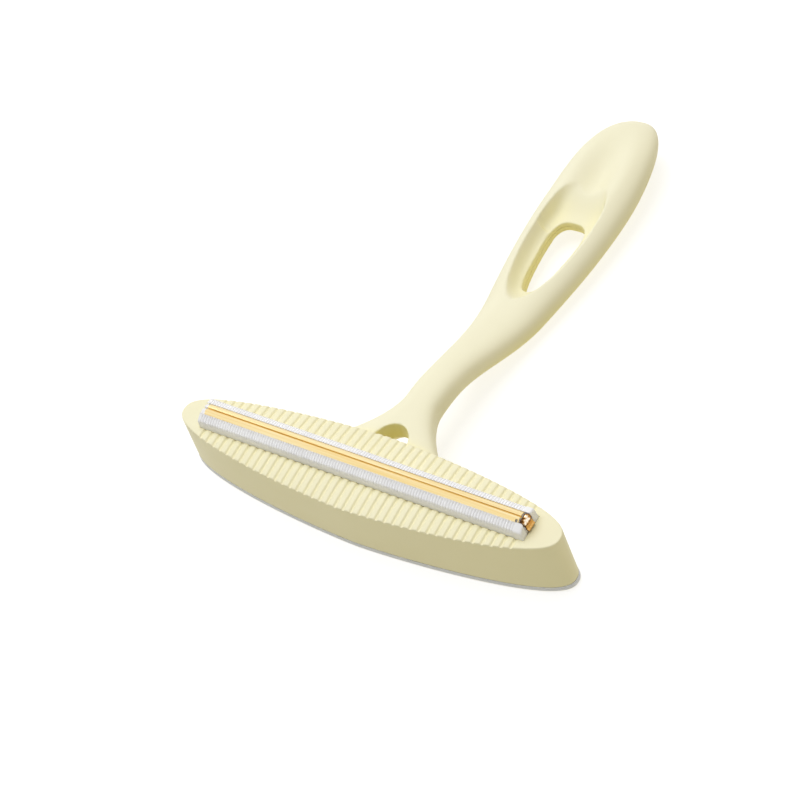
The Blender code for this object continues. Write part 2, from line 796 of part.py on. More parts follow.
def make_handle():
    cream_finish = plastic("handle_cream", cream, 0.4)
    body = handle_mesh()
    upper = add_piece("handle_upper", body, cream_finish)
    lower = add_piece("handle_lower", body.copy(), cream_finish)
    combine(upper, add_cutter("upper_parting", parting_block("parting_up", 1)), "DIFFERENCE")
    combine(lower, add_cutter("lower_parting", parting_block("parting_low", -1)), "INTERSECT")
    window = add_cutter("window", window_mesh())
    arch = add_cutter("fork_arch", arch_mesh())
    core = add_cutter("palm_core", palm_core_mesh())
    clearance = head_block("head_clearance", HEAD_DEPTH / 2, -1.5 * HEAD_DEPTH, -WALL_GAP)
    head = add_cutter("head_clearance", clearance)
    for half in (upper, lower):
        for cutter in (window, arch, core, head):
            combine(half, cutter, "DIFFERENCE")

    def tenons(work):
        for side in (-1, 1):
            x = side * TENON_AT
            add_box(
                work, (x - TENON_WIDTH / 2, TENON_END, tenon_bottom),
                (x + TENON_WIDTH / 2, FACE_WIDTH / 2 + SHELL_WALL, tenon_top),
            )

    def tenon_holes(work):
        for side in (-1, 1):
            add_rod(
                work, side * TENON_AT, TENON_SCREW_AT, tenon_bottom - SHELL_WALL, tenon_top + SHELL_WALL,
                SHANK_RADIUS + HOLE_PLAY,
            )

    join(lower, "fork_tenons", mesh_from("tenons", tenons))
    cut(lower, "tenon_screw_holes", mesh_from("tenon_holes", tenon_holes))
    for half in (upper, lower):
        round_off(half, 35.0)


# The tool lies on its pad's front edge and the underside of its grip

def evaluated_points():
    bpy.context.view_layer.update()
    graph = bpy.context.evaluated_depsgraph_get()
    found = []
    for piece in parts.objects:
        if piece.type != "MESH":
            continue
        shown = piece.evaluated_get(graph)
        mesh = shown.to_mesh()
        found += [shown.matrix_world @ corner.co for corner in mesh.vertices]
        shown.to_mesh_clear()
    return np.array(found)


def lay_down():
    points = evaluated_points()
    heel_y, heel_z = SIDE_LEAN_IN - FACE_WIDTH / 2, -HEAD_DEPTH
    grip = points[points[:, 1] > NECK_AT]
    slope = ((grip[:, 2] - heel_z) / (grip[:, 1] - heel_y)).min()
    tool.rotation_euler = (-math.atan(slope), 0.0, 0.0)
    points = evaluated_points()
    low, high = points.min(axis=0), points.max(axis=0)
    tool.location = (-(low[0] + high[0]) / 2, -(low[1] + high[1]) / 2, -low[2])
    bpy.context.view_layer.update()


make_head_shell()
make_back_plate()
make_pad()
make_screws()
make_insert()
make_handle()
lay_down()
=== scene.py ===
import json
from math import acos, atan2, copysign, cos, hypot, pi, radians, sin, sqrt, tan

import bmesh
import bpy
from mathutils import Matrix, Vector


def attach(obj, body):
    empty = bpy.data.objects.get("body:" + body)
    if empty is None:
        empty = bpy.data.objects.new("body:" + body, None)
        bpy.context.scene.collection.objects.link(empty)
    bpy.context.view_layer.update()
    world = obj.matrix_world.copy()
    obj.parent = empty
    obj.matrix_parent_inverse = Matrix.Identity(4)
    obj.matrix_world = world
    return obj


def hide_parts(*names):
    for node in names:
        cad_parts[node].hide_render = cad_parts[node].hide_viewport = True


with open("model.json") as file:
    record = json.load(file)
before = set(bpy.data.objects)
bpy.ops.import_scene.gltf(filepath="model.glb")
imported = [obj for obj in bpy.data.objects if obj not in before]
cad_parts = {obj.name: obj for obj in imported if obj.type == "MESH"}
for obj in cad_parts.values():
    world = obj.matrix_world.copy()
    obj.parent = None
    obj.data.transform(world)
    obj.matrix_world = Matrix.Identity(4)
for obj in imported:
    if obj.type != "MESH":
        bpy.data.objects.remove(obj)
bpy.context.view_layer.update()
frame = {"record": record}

mm = 0.001
quarter = pi / 2

# the tool's own space: x along the head, y towards the handle, z out of the ribbed face
head = {
    "faceLength": 126 * mm,
    "faceWidth": 26.4 * mm,
    "endLeanOut": 1.1 * mm,  # each end of the back reaches this much further
    "sideLeanIn": 0.45 * mm,
    "depth": 19.3 * mm,
    "shift": 0.5 * mm,  # the head's middle lies right of the handle's line
    "faceRadius": 75 * mm,
    "tipPower": 1.45,
    "sidePower": 2.42,
    "rimRound": 0.40 * mm,
    "shellBottom": 17.8 * mm,
    "wall": 1.8 * mm,
    "groovePitch": 2.664 * mm,
    "grooveWidth": 0.90 * mm,
    "grooveDepth": 0.52 * mm,
    "grooveCount": 40,
    "grooveSides": 5,  # the higher, the steeper a groove's sides
    "grooveShoulders": 1.3,
    "grooveReach": 4,  # a groove's soft shoulders end here, in half widths
    "grooveShift": -0.25 * mm,
    "blendPower": 2.2,  # how sharply the rim's rounding and the grooves meet
    "bottomRound": 0.15 * mm,
    "wallLevels": (0.01, 0.03, 0.06, 0.12, 0.25, 0.45, 0.65, 0.85, 0.97, 0.99, 1.0),
    "roundFrom": 0.985,
    "columnsPerPitch": 16,
    "tipColumns": 44,
    "edgePair": 0.01 * mm,  # columns this close on both sides of the insert's pocket
    "rimBand": 0.9 * mm,
    "innerEdge": 0.999,  # rows pair up at the pocket's edge, the inner one at this share
    "pocketShare": 0.72,  # most that a short column gives to the pocket's rows
    "rimShare": 0.2,
    "pocketRows": 14,
    "faceRows": 26,
    "rimRows": 12,
}

padFace = frame["record"]["mounts"][0]
toolUp = -Vector(padFace["axis"])
toolTilt = atan2(-toolUp.y, toolUp.z)
toolOrigin = Vector(padFace["pos_m"]) + toolUp * head["depth"] - Vector((head["shift"], 0, 0))
toolSpace = Matrix.Translation(toolOrigin) @ Matrix.Rotation(toolTilt, 4, "X")


# measures

def ramp(value, start, end):
    return min(max((value - start) / (end - start), 0.0), 1.0)


def evenly(start, end, count):
    # the start, the end and even steps between them
    return [start + (end - start) * i / count for i in range(count + 1)]


def signedPower(value, power):
    return copysign(abs(value) ** power, value)


def edgeDrop(away, r):
    # how far a surface drops at this distance from its edge, rounded to radius r
    return r - sqrt(max(r * r - (r - away) ** 2, 0.0)) if away < r else 0.0


# making pieces

def newMesh(name, verts, faces):
    mesh = bpy.data.meshes.new(name)
    mesh.from_pydata([tuple(v) for v in verts], [], faces)
    return mesh


def linked(name, data):
    thing = bpy.data.objects.new(name, data)
    bpy.context.scene.collection.objects.link(thing)
    return thing


def welded(mesh, turn=None):
    # double points joined and every face turned outwards, moved by the matrix if one is given
    work = bmesh.new()
    work.from_mesh(mesh)
    bmesh.ops.remove_doubles(work, verts=work.verts, dist=1e-7)
    if turn is not None:
        bmesh.ops.transform(work, matrix=turn, verts=work.verts)
    bmesh.ops.recalc_face_normals(work, faces=work.faces)
    work.to_mesh(mesh)
    work.free()
    return mesh


def rawMesh(name, verts, faces):
    return welded(newMesh(name, verts, faces))


def dressPiece(name, mesh, replaced, material, sharpAngle=None):
    # from tool space to the frame, with its finish; bends past the sharp angle stay crisp
    welded(mesh, toolSpace)
    mesh.shade_smooth()
    if sharpAngle:
        mesh.set_sharp_from_angle(angle=radians(sharpAngle))
    mesh.materials.clear()
    mesh.materials.append(material)
    piece = linked(name, mesh)
    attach(piece, "root")
    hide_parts(*replaced)
    return piece


def quadGrid(rows, columns, closed=False):
    # faces of a grid of rows x columns points, wrapped round in each row if closed
    faces = []
    span = columns if closed else columns - 1
    for r in range(rows - 1):
        for c in range(span):
            d = (c + 1) % columns
            here, there = r * columns, (r + 1) * columns
            faces.append((here + c, here + d, there + d, there + c))
    return faces


def loftLoops(loops):
    # closed loops of equal length joined into one closed body
    count = len(loops[0])
    verts = [p for loop in loops for p in loop]
    faces = quadGrid(len(loops), count, closed=True)
    faces.append(tuple(range(count))[::-1])
    last = (len(loops) - 1) * count
    faces.append(tuple(range(last, last + count)))
    return verts, faces


# node helpers

class Finish:
    # a material with one Principled shader, and short ways to add nodes and links
    def __init__(self, name):
        self.material = bpy.data.materials.new(name)
        self.material.use_nodes = True
        self.nodes = self.material.node_tree.nodes
        self.links = self.material.node_tree.links
        self.shader = self.nodes["Principled BSDF"]
        self.place = self.nodes.new("ShaderNodeTexCoord").outputs["Object"]

    def set(self, values):
        for socket, value in values.items():
            self.shader.inputs[socket].default_value = value

    def feed(self, source, socket):
        self.links.new(source, self.shader.inputs[socket])

    def add(self, kind, output, values, sources):
        # a new node with these values and links; gives back the named output
        node = self.nodes.new("ShaderNode" + kind)
        for socket, value in values.items():
            node.inputs[socket].default_value = value
        for socket, source in sources.items():
            self.links.new(source, node.inputs[socket])
        return node.outputs[output]

    def noise(self, scale, detail=2.0, stretch=None):
        place = self.place
        if stretch:
            place = self.add("Mapping", "Vector", {"Scale": stretch}, {"Vector": place})
        return self.add("TexNoise", "Fac", {"Scale": scale, "Detail": detail}, {"Vector": place})

    def ramp(self, source, positions, colours):
        node = self.nodes.new("ShaderNodeValToRGB")
        elements = node.color_ramp.elements
        while len(elements) < len(colours):
            elements.new(0.5)
        for element, position, colour in zip(elements, positions, colours):
            element.position = position
            element.color = (*colour, 1.0)
        self.links.new(source, node.inputs["Fac"])
        return node.outputs["Color"]

    def tint(self, source, positions, colours):
        self.feed(self.ramp(source, positions, colours), "Base Color")

    def gloss(self, source, low, high):
        # roughness that wanders between two values
        values = {"To Min": low, "To Max": high}
        self.feed(self.add("MapRange", "Result", values, {"Value": source}), "Roughness")

    def bump(self, source, strength, distance):
        # laid over the bumps that are there already
        earlier, sources = self.shader.inputs["Normal"], {"Height": source}
        if earlier.is_linked:
            sources["Normal"] = earlier.links[0].from_socket
        values = {"Strength": strength, "Distance": distance}
        self.feed(self.add("Bump", "Normal", values, sources), "Normal")

    def paintedCavityShade(self, openTone, paintedShade, reach, low, high=0.95):
        # painted shade: the shade tone where surfaces stand close by, the open one elsewhere
        near = self.nodes.new("ShaderNodeAmbientOcclusion")
        near.samples = 16
        near.inputs["Distance"].default_value = reach
        limits, source = {"From Min": low, "From Max": high}, {"Value": near.outputs["AO"]}
        share = self.add("MapRange", "Result", limits, source)
        sources = {"Fac": share, "Color2": openTone}
        return self.add("MixRGB", "Color", {"Color1": (*paintedShade, 1.0)}, sources)


def srgb(r, g, b):
    # 0..255 screen values as the linear numbers that a shader takes
    def linear(v):
        v = v / 255
        return v / 12.92 if v <= 0.04045 else ((v + 0.055) / 1.055) ** 2.4
    return (linear(r), linear(g), linear(b))


# finishes

tones = {
    # head and handle each have a second, yellower tone: painted shade for close-set places
    "head": srgb(240, 235, 203),
    "headPaintedShade": srgb(238, 230, 184),
    "handle": srgb(241, 237, 210),
    "handlePaintedShade": srgb(247, 239, 172),
    "plate": srgb(236, 230, 196),
    "combs": (srgb(240, 240, 243), srgb(246, 246, 248)),
    "blades": (srgb(246, 216, 148), srgb(255, 238, 190)),
    "clip": (srgb(206, 150, 78), srgb(232, 184, 112)),
    # the bead's dark brown and near-white are painted reflections and painted highlights
    "bead": (srgb(84, 52, 22), srgb(196, 142, 70), srgb(255, 243, 222)),
    "screws": ((0.50, 0.51, 0.53), (0.66, 0.67, 0.68)),
    "pile": (srgb(226, 230, 243), srgb(244, 246, 252)),
    "foam": (srgb(226, 230, 244), srgb(240, 243, 252)),
}


def creamPlastic(name, tone, grain, paintedShade=None, reach=0.0, low=0.0):
    # satin moulded plastic: faint cloudiness, a fine spark-eroded grain, uneven gloss,
    # and, if a shade tone is given, a yellower painted shade where surfaces stand close
    f = Finish(name)
    f.set({"IOR": 1.48, "Specular IOR Level": 0.3})
    light = tuple(min(c * 1.015, 1.0) for c in tone)
    deep = (tone[0] * 0.985, tone[1] * 0.98, tone[2] * 0.95)
    cloudy = f.ramp(f.noise(scale=38.0, detail=3.0), (0.25, 0.75), (deep, light))
    f.feed(f.paintedCavityShade(cloudy, paintedShade, reach, low) if paintedShade else cloudy, "Base Color")
    f.gloss(f.noise(scale=240.0, detail=3.0), low=0.38, high=0.50)
    f.bump(f.noise(scale=2600.0), strength=grain, distance=0.03 * mm)
    f.bump(f.noise(scale=60.0, detail=1.0), strength=0.12, distance=0.12 * mm)
    return f.material


def whitePlastic():
    f = Finish("combWhite")
    f.set({"IOR": 1.48})
    f.tint(f.noise(scale=120.0), (0.3, 0.7), tones["combs"])
    f.gloss(f.noise(scale=900.0), low=0.32, high=0.44)
    f.bump(f.noise(scale=3200.0), strength=0.10, distance=0.02 * mm)
    return f.material


def goldStrip(name, tone, gloss):
    # rolled brass with draw lines and streaks of gloss along the strip
    f = Finish(name)
    f.set({"Metallic": 1.0})
    lines = f.noise(scale=1.0, detail=4.0, stretch=(26.0, 1900.0, 1900.0))
    f.tint(lines, (0.3, 0.7), tone)
    f.gloss(f.noise(scale=1.0, stretch=(160.0, 2600.0, 2600.0)), *gloss)
    f.bump(lines, strength=0.16, distance=0.02 * mm)
    return f.material


def paintedBeadReflections():
    # polished roll whose colour paints its reflections: dark-brown painted reflections mottled with
    # near-white painted highlights
    f = Finish("beadPaintedReflections")
    f.set({"Metallic": 1.0})
    f.tint(f.noise(scale=620.0, detail=1.0), (0.42, 0.50, 0.60), tones["bead"])
    f.gloss(f.noise(scale=900.0), low=0.10, high=0.20)
    return f.material


def zincSteel():
    f = Finish("screwZinc")
    f.set({"Metallic": 1.0})
    f.tint(f.noise(scale=700.0), (0.3, 0.7), tones["screws"])
    f.gloss(f.noise(scale=1500.0), low=0.30, high=0.48)
    return f.material


def padFabric():
    # short pile laid one way: fine streaks across, with a soft nap
    f = Finish("padPile")
    f.set({"Roughness": 0.92, "Sheen Weight": 0.3, "Sheen Roughness": 0.45})
    pile = f.noise(scale=1.0, detail=3.0, stretch=(5200.0, 1700.0, 5200.0))
    f.tint(pile, (0.25, 0.75), tones["pile"])
    f.bump(pile, strength=0.6, distance=0.2 * mm)
    f.bump(f.noise(scale=70.0, detail=3.0), strength=0.35, distance=0.4 * mm)
    return f.material


def greyFoam():
    f = Finish("backingFoam")
    f.set({"Roughness": 0.85})
    cells = f.noise(scale=1800.0, detail=3.0)
    f.tint(cells, (0.3, 0.7), tones["foam"])
    f.bump(cells, strength=0.4, distance=0.1 * mm)
    return f.material


# head and handle take painted shade where surfaces stand close, within the given reach
creamHead = creamPlastic("headCream", tones["head"], 0.10, tones["headPaintedShade"], 3 * mm, 0.35)
creamHandle = creamPlastic("handleCream", tones["handle"], 0.05, tones["handlePaintedShade"], 16 * mm, 0.3)
creamPlate = creamPlastic("plateCream", tones["plate"], 0.12)
combWhite = whitePlastic()
brassBlade = goldStrip("bladeBrass", tones["blades"], (0.26, 0.38))
brassClip = goldStrip("clipBrass", tones["clip"], (0.16, 0.26))
beadWithPaintedReflections = paintedBeadReflections()
screwZinc = zincSteel()
padPile = padFabric()
backingFoam = greyFoam()
print("finishes made")


# head shell

def rimPoint(angle, z, inset=0.0):
    # a point of the head's outline at height z, between the face's outline and the back's
    share = -z / head["depth"]
    length = head["faceLength"] + 2 * head["endLeanOut"] * share
    width = head["faceWidth"] - 2 * head["sideLeanIn"] * share
    x = (length / 2 - inset) * signedPower(cos(angle), 2 / head["tipPower"])
    y = (width / 2 - inset) * signedPower(sin(angle), 2 / head["sidePower"])
    return Vector((head["shift"] + x, y, z))


def faceHeight(y):
    return sqrt(head["faceRadius"] ** 2 - y * y) - head["faceRadius"]


def rimDistance(x, y):
    # how far a point of the face lies inside the rim, from the outline's own equation
    a, b = head["faceLength"] / 2, head["faceWidth"] / 2
    m, q = head["tipPower"], head["sidePower"]
    u, v = abs(x - head["shift"]) / a, abs(y) / b
    inside = 1.0 - u ** m - v ** q
    steep = hypot(m * u ** (m - 1) / a, q * v ** (q - 1) / b)
    return max(inside, 0.0) / max(steep, 1e-9)


def grooveDip(x):
    # depth of the nearest groove at x, with soft shoulders and a rounded floor
    middle = head["shift"] + head["grooveShift"]
    place = (x - middle) / head["groovePitch"] + (head["grooveCount"] - 1) / 2
    nearest = min(max(round(place), 0), head["grooveCount"] - 1)
    away = abs(place - nearest) * head["groovePitch"] / (head["grooveWidth"] / 2)
    if away >= head["grooveReach"]:
        return 0.0
    return head["grooveDepth"] / (1.0 + away ** head["grooveSides"]) ** head["grooveShoulders"]


insert = {
    "endMargin": 8.775 * mm,
    "shift": -0.125 * mm,
    "width": 8.4 * mm,
    "seatDepth": 0.8 * mm,
    "seatGap": 0.15 * mm,
    "crown": 4.2 * mm,
    "slotWidth": 0.44 * mm,
    "slotDepth": 1.2 * mm,
    "ledge": 0.9 * mm,  # the carrier's step on which the combs sit
    "combGap": 0.04 * mm,  # between the carrier and the combs beside it
    "lipGap": 0.02 * mm,  # between the carrier and the blades' folded lips
    "landGap": 0.03 * mm,
    "endTuck": 0.05 * mm,
    "tongueGap": 0.1 * mm,  # between the carrier's tongue and the clip's flange
    "cutMargin": 0.01 * mm,
    "sharpAngle": 30,
}
insertLength = head["faceLength"] - 2 * insert["endMargin"]
insertLeft = head["shift"] + insert["shift"] - insertLength / 2
insertRight = insertLeft + insertLength
pocketHalf = insert["width"] / 2 + insert["seatGap"]
pocketLeft = insertLeft - insert["seatGap"]
pocketRight = insertRight + insert["seatGap"]


def headColumns():
    # places along x: close and even over the grooves, closing up towards the tips
    half = head["faceLength"] / 2
    middle = head["shift"] + head["grooveShift"]
    reach = (head["grooveCount"] / 2 + 0.6) * head["groovePitch"]
    count = int(2 * reach / head["groovePitch"] * head["columnsPerPitch"])
    xs = [middle - reach + 2 * reach * i / count for i in range(count + 1)]
    steps = head["tipColumns"]
    for end in (-1, 1):
        tip = head["shift"] + end * half
        near = middle + end * reach
        xs += [tip + (near - tip) * (i / steps) ** 2 for i in range(steps)]
    for edge in (pocketLeft, pocketRight):
        xs += [edge - head["edgePair"], edge + head["edgePair"]]
    return sorted(xs)


def columnAngle(x):
    share = min(max((x - head["shift"]) / (head["faceLength"] / 2), -1.0), 1.0)
    return acos(signedPower(share, head["tipPower"] / 2))


def columnRows(half):
    # places across one column, with a close pair at the pocket's edge and a fine rim
    edge = min(pocketHalf, head["pocketShare"] * half)
    fine = min(head["rimBand"], head["rimShare"] * half)
    positive = evenly(0, edge * head["innerEdge"], head["pocketRows"])
    positive += evenly(edge, half - fine, head["faceRows"])[:-1]
    positive += [half - fine * cos(turn) for turn in evenly(0, quarter, head["rimRows"])]
    return [-y for y in reversed(positive[1:])] + positive


def faceSink(x, y):
    # how far the face lies below its arc: rim rounding and grooves run into each other
    drop, dip = edgeDrop(rimDistance(x, y), head["rimRound"]), grooveDip(x)
    power = head["blendPower"]
    return (drop ** power + dip ** power) ** (1 / power)


def makeHeadShell():
    xs = headColumns()
    angles = [columnAngle(x) for x in xs]
    pocketWithin = pocketHalf * (1 + head["innerEdge"]) / 2
    verts = []
    for x, angle in zip(xs, angles):
        half = abs(rimPoint(angle, 0.0).y)
        for y in columnRows(half):
            z = faceHeight(y) - faceSink(x, y)
            if pocketLeft < x < pocketRight and abs(y) < pocketWithin:
                z = -insert["seatDepth"]
            verts.append(Vector((x, y, z)))
    count = len(columnRows(1.0))
    faces = quadGrid(len(xs), count)
    loop = [i * count for i in range(len(xs))]
    loop += [i * count + count - 1 for i in range(len(xs) - 1, -1, -1)]
    around = [-a for a in angles] + angles[::-1]

    def addRing(points, previous):
        ring = list(range(len(verts), len(verts) + len(points)))
        verts.extend(points)
        for i in range(len(ring)):
            faces.append((previous[i - 1], previous[i], ring[i], ring[i - 1]))
        return ring

    # the wall is ruled from the face's outline to the bottom, with a softened bottom edge
    tops = [verts[i].copy() for i in loop]
    previous, bottom = loop, -head["shellBottom"]
    for level in head["wallLevels"]:
        tuck = head["bottomRound"] * ramp(level, head["roundFrom"], 1.0)
        heights = [top.z + (bottom - top.z) * level for top in tops]
        previous = addRing([rimPoint(a, z, tuck) for a, z in zip(around, heights)], previous)

    # then the hollow behind it: in under the bottom, up the wall's inner side and across
    previous = addRing([rimPoint(a, bottom, head["wall"]) for a in around], previous)
    previous = addRing([rimPoint(a, -2 * head["wall"], head["wall"]) for a in around], previous)
    last = len(around) - 1
    for i in range(len(xs) - 1):
        faces.append((previous[i], previous[i + 1], previous[last - i - 1], previous[last - i]))
    mesh = newMesh("headShell", verts, faces)
    return dressPiece("headShell", mesh, ["head_shell"], creamHead)


headShell = makeHeadShell()
print("head shell made:", len(headShell.data.vertices), "points")


# blade insert

blade = {
    "thickness": 0.25 * mm,
    "landWidth": 0.77 * mm,
    "landFall": 0.15 * mm,
    "slopeWidth": 1.1 * mm,
    "frontFall": 0.70 * mm,
    "rearFall": 0.506 * mm,
    "endLeft": 1.4 * mm,
    "endRight": 2.2 * mm,
    "lipDepth": 0.85 * mm,  # folded edge that lines the slot and its floor
    "lip": 0.12 * mm,
    "slotEdge": 0.10 * mm,  # rounding of the slot's edge
    "bend": 0.12 * mm,  # rounding of the crease between land and slope
    "floorGap": 0.01 * mm,  # from the slot's middle to each blade's folded floor
    "holeSize": 0.7 * mm,
    "holeInset": 0.9,  # from the blade's end to the hole's middle, in hole sizes
    "stations": 120,
    "sharpAngle": 38,
}
slotHalf = insert["slotWidth"] / 2
crease = (slotHalf + blade["landWidth"], insert["crown"] - blade["landFall"])
bladeOuter = (crease[0] + blade["slopeWidth"], crease[1] - blade["frontFall"])
bladeLeft = insertLeft + blade["endLeft"]
bladeRight = insertRight - blade["endRight"]
layerGap = 0.12 * mm           # left between parts that lie over each other


def bladeTop(y, side):
    fall = blade["frontFall"] if side < 0 else blade["rearFall"]
    return crease[1] - fall / blade["slopeWidth"] * (y - crease[0])


def sweep(profile, xs, side, shift=None):
    # carries a closed (y, z) profile along x; shift(i, x) moves point i of it
    loops = []
    for x in xs:
        loop = []
        for i, (y, z) in enumerate(profile):
            dy, dz = shift(i, x) if shift else (0.0, 0.0)
            loop.append(Vector((x, side * (y + dy), z + dz)))
        loops.append(loop)
    return loftLoops(loops)


def prismMesh(outline, low, high):
    # a flat outline in plan, as a closed block from low to high
    return rawMesh("prism", *loftLoops([[Vector((x, y, z)) for x, y in outline] for z in (low, high)]))


def boxMesh(low, high):
    low, high = Vector(low), Vector(high)
    mesh = bpy.data.meshes.new("box")
    work = bmesh.new()
    place = Matrix.Translation((low + high) / 2) @ Matrix.Diagonal((*(high - low), 1.0))
    bmesh.ops.create_cube(work, size=1.0, matrix=place)
    work.to_mesh(mesh)
    work.free()
    return mesh


def modifiedMesh(body):
    bpy.context.view_layer.update()
    graph = bpy.context.evaluated_depsgraph_get()
    return bpy.data.meshes.new_from_object(body.evaluated_get(graph))


def cutMesh(mesh, cutter, operation="DIFFERENCE"):
    # an exact Boolean between two meshes in tool space
    body, knife = linked("cutBody", mesh), linked("knife", cutter)
    modifier = body.modifiers.new("cut", "BOOLEAN")
    modifier.operation = operation
    modifier.solver = "EXACT"
    modifier.object = knife
    result = modifiedMesh(body)
    for thing in (body, knife):
        bpy.data.objects.remove(thing)
    return result


def holeCutter():
    # the square locating hole near the front blade's right end
    half = blade["holeSize"] / 2
    x = bladeRight - blade["holeInset"] * blade["holeSize"]
    y = -(crease[0] + comb["inner"]) / 2
    low = (x - half, y - half, insert["ledge"])
    high = (x + half, y + half, 2 * insert["crown"])
    return boxMesh(low, high)


def makeBlade(name, side):
    # a level land beside the slot, a slope under the comb, and an edge folded down into the slot
    slot, crown, thick = slotHalf, insert["crown"], blade["thickness"]
    bend, edge = blade["bend"], blade["slotEdge"]
    inner, floor = slot + blade["lip"], crown - blade["lipDepth"]
    outer = Vector((bladeOuter[0], bladeTop(bladeOuter[0], side)))
    normal = Vector((crease[1] - outer.y, outer.x - crease[0])).normalized()
    profile = [
        (slot + 0.2 * edge, crown - 0.5 * edge),
        (slot + 0.7 * edge, crown),
        (crease[0] - bend, crease[1] + bend * 0.2),
        (crease[0] - bend * 0.3, crease[1] + bend * 0.02),
        (crease[0] + bend * 0.5, crease[1] - bend * 0.24),
        (crease[0] + bend, bladeTop(crease[0] + bend, side)),
        tuple(outer),
        tuple(outer - normal * thick),
        (crease[0], crease[1] - thick * 1.15),
        (inner, crown - thick),
        (inner, floor),
        (blade["floorGap"], floor),
        (blade["floorGap"], floor + blade["lip"]),
        (slot, floor + blade["lip"]),
        (slot, crown - edge),
    ]
    xs = evenly(bladeLeft, bladeRight, blade["stations"])
    mesh = rawMesh(name, *sweep(profile, xs, side))
    if side < 0:
        mesh = cutMesh(mesh, holeCutter())
    replaced = [name.replace("Blade", "_blade")]
    return dressPiece(name, mesh, replaced, brassBlade, blade["sharpAngle"])


comb = {
    "inner": 1.82 * mm,
    "innerHeight": 3.74 * mm,
    # the front bar slopes down towards the user, the rear one is squarer and a little higher;
    # lean is how much further in the wall's top stands than its foot
    "front": {
        "higher": 0.0, "shoulder": 2.55 * mm, "round": 0.9 * mm, "lean": 0.15 * mm, "ribStart": 0.35,
    },
    "rear": {
        "higher": 0.12 * mm, "shoulder": 3.35 * mm, "round": 0.6 * mm, "lean": 0.2 * mm, "ribStart": 1.0,
    },
    "shoulderIn": 0.4 * mm,  # the shoulder's height is met this far inside the bar's edge
    "lipAngles": (180, 150, 120, 100),  # degrees
    "topSteps": 9,
    "roundSteps": 7,
    "skirt": 0.12 * mm,
    "foot": -0.5 * mm,
    "lipGap": 0.03 * mm,  # between the comb's lip and the blade under it
    "lipRound": 0.12 * mm,
    "plainLeft": 0.3 * mm,
    "endRound": 0.10 * mm,
    "endSteps": 4,
    "ribPitch": 0.869 * mm,
    "ribDepth": 0.33 * mm,
    "ribPower": 1.8,  # above 1, the gaps are narrower than the ribs
    "ribGrowth": 3,  # how fast the ribs reach their full depth down the slope
    "topFade": 0.1,
    "roundFade": 0.01,
    "lipShare": 0.6,  # of the ribs' depth, left on the lip's upright side
    "columnsPerRib": 12,
    # how far down the wall, and what share of the ribs' depth is left there
    "ribFade": ((0.08, 0.7), (0.16, 0.35), (0.24, 0.0), (0.5, 0.0), (0.75, 0.0), (1.0, 0.0)),
    "capLength": 2.8 * mm,
    "capOverlap": 0.1 * mm,  # the bar's flat end stands this far inside its cap
    "capProud": 0.12 * mm,
    "capRound": 0.85 * mm,
    "capEdge": 0.2 * mm,
    "capSlant": 0.45 * mm,  # the cap's end face leans back by this much at its top
    "capSlantReach": 1.6,  # in radii from the end
    "capTuck": 0.8,  # how far the end's rounding draws the section in, in radii
    "capNarrow": (0.35, 0.40),  # share of that in the width, at the foot and more at the top
    "capLevels": (1.2 * mm, 2.4 * mm, 3.2 * mm),
    "capSteps": 12,
    "sharpAngle": 60,
}


def combTop(side):
    # the top from the lip to the shoulder: points with outward normals and the ribs' depth there
    bar = comb["front"] if side < 0 else comb["rear"]
    outer, inner = insert["width"] / 2 - bar["lean"], comb["inner"]
    high, low = comb["innerHeight"] + bar["higher"], bar["shoulder"] + bar["higher"]
    small, r = comb["lipRound"], bar["round"]
    wallTilt = atan2(bar["lean"], low - comb["foot"])
    fall = atan2(high - low, outer - comb["shoulderIn"] - inner)
    points = []
    for degrees in comb["lipAngles"]:
        angle = radians(degrees)
        y = inner + small + small * cos(angle)
        z = high - small + small * sin(angle)
        points.append((y, z, (cos(angle), sin(angle)), 1.0))

    # the slope
    upright = (sin(fall), cos(fall))
    centreY = outer - r
    topStart, topEnd = inner + small, centreY + r * upright[0]
    centreZ = high - tan(fall) * (topEnd - inner) - r * upright[1]
    for share in evenly(0, 1.0, comb["topSteps"]):
        y = topStart + (topEnd - topStart) * share
        depth = min(bar["ribStart"] + share * comb["ribGrowth"], 1.0) - comb["topFade"] * share
        points.append((y, high - tan(fall) * (y - inner), upright, depth))

    # the rounded shoulder
    for i, angle in enumerate(evenly(quarter - fall, wallTilt, comb["roundSteps"])[1:]):
        place = (centreY + r * cos(angle), centreZ + r * sin(angle))
        depth = 1.0 - comb["topFade"] - (i + 1) * comb["roundFade"]
        points.append((*place, (cos(angle), sin(angle)), depth))
    return points


def combWall(z):
    # how far out the front comb's leaning wall stands at height z
    startY, startZ = combTop(-1)[-1][:2]
    return startY + (insert["width"] / 2 - startY) * (startZ - z) / (startZ - comb["foot"])


def combProfile(side):
    # closed outline of the bar: lip over the blade, ribbed top, smooth wall and its thin skirt
    outer, inner = insert["width"] / 2, comb["inner"]
    top = combTop(side)
    under = bladeTop(inner, side) + comb["lipGap"]
    lip = [(inner, under, (-1.0, 0.0), 1.0)]
    startY, startZ, wallNormal = top[-1][:3]
    wall = []
    for share, depth in comb["ribFade"]:
        place = (startY + (outer - startY) * share, startZ + (comb["foot"] - startZ) * share)
        wall.append((*place, wallNormal, depth))
    within = bladeOuter[0] + 2 * layerGap
    back = [
        (outer - comb["skirt"], comb["foot"]),
        (combWall(insert["ledge"]) - comb["skirt"], insert["ledge"]),
        (within, insert["ledge"]),
        (within, bladeTop(within, side) + comb["lipGap"]),
    ]
    return lip + top + wall + [(y, z, None, 0.0) for y, z in back]


